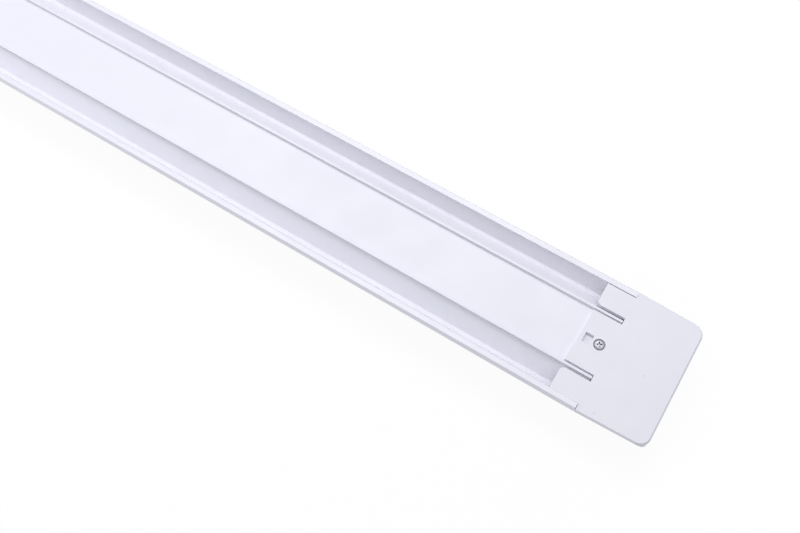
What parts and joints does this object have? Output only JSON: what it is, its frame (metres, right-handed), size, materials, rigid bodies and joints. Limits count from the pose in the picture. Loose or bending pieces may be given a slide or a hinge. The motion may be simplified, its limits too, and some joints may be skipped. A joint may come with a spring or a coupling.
{
  "type": "led batten light",
  "caption": "Slim surface-mounted batten lamp: white profile with clip channels, wrap-round opal diffuser, pull-off end caps, cable entry, LED board and driver.",
  "frame": {"origin": "middle of the flat along the bottom of the diffuser, half way between the ends", "axes": "+X along the lamp towards the end cap without a cable entry, +Z from the diffuser to the back (ceiling) side, +Y across"},
  "size_m": [0.6, 0.075, 0.026],
  "materials": {
    "base_coat": "smooth white powder coat on extruded aluminium",
    "opal_cover": "opal white co-extruded polycarbonate, satin",
    "cap_plastic": "moulded white polycarbonate, satin",
    "plated_steel": "bright zinc plate",
    "grommet_rubber": "light grey, smooth",
    "board_white": "white solder mask on aluminium",
    "led_ceramic": "moulded white reflector cup",
    "led_phosphor": "yellow phosphor in clear resin",
    "driver_green": "green solder mask on glass laminate",
    "tray_plastic": "flame retardant polycarbonate",
    "ferrite": "dark sintered ferrite",
    "winding_tape": "yellow insulating tape",
    "capacitor_sleeve": "dark blue heat-shrink sleeve",
    "film_plastic": "moulded yellow case",
    "chip_epoxy": "black moulded epoxy",
    "fuse_ceramic": "glazed ceramic",
    "terminal_plastic": "white polyamide",
    "spring_steel": "bright spring steel",
    "contact_brass": "tinned brass",
    "button_orange": "orange polyamide",
    "wire_brown": "brown insulation",
    "wire_blue": "blue insulation",
    "wire_green_yellow": "green and yellow insulation",
    "wire_red": "red insulation",
    "wire_black": "black insulation"
  },
  "bodies": {
    "chassis": {"base_profile": "base_coat", "diffuser": "opal_cover", "led_board": "board_white", "led_packages": "led_ceramic", "led_phosphors": "led_phosphor", "led_connector": "terminal_plastic", "driver_tray": "tray_plastic", "driver_board": "driver_green", "transformer_core": "ferrite", "transformer_winding": "winding_tape", "input_capacitors": "capacitor_sleeve", "output_capacitor": "capacitor_sleeve", "film_capacitor": "film_plastic", "input_choke": "ferrite", "bridge_rectifier": "chip_epoxy", "switching_chip": "chip_epoxy", "fuse": "fuse_ceramic", "terminal_bracket": "plated_steel", "terminal_block": "terminal_plastic", "terminal_springs": "spring_steel", "terminal_contacts": "contact_brass", "cord_clamp": "terminal_plastic", "cord_clamp_screws": "plated_steel", "earth_lug": "plated_steel", "earth_screw": "plated_steel", "earth_nut": "plated_steel", "wire_live": "wire_brown", "wire_neutral": "wire_blue", "wire_earth": "wire_green_yellow", "wire_led_positive": "wire_red", "wire_led_negative": "wire_black"},
    "right_cap": {"end_cap_right": "cap_plastic", "cap_screw_right": "plated_steel"},
    "left_cap": {"end_cap_left": "cap_plastic", "cap_screw_left": "plated_steel", "cable_grommet": "grommet_rubber"},
    "live_release": {"live_button": "button_orange"},
    "neutral_release": {"neutral_button": "button_orange"},
    "earth_release": {"earth_button": "button_orange"}
  },
  "joints": [
    {"name": "right_cap_slide", "type": "slide", "parent": "chassis", "child": "right_cap", "axis": [1, 0, 0], "range_m": [0, 0.02]},
    {"name": "left_cap_slide", "type": "slide", "parent": "chassis", "child": "left_cap", "axis": [-1, 0, 0], "range_m": [0, 0.02]},
    {"name": "live_button_press", "type": "slide", "parent": "chassis", "child": "live_release", "axis": [0, 0, -1], "range_m": [0, 0.001], "stiffness_N_per_m": 1500, "springref_m": -0.0002},
    {"name": "neutral_button_press", "type": "slide", "parent": "chassis", "child": "neutral_release", "axis": [0, 0, -1], "range_m": [0, 0.001], "stiffness_N_per_m": 1500, "springref_m": -0.0002},
    {"name": "earth_button_press", "type": "slide", "parent": "chassis", "child": "earth_release", "axis": [0, 0, -1], "range_m": [0, 0.001], "stiffness_N_per_m": 1500, "springref_m": -0.0002}
  ]
}
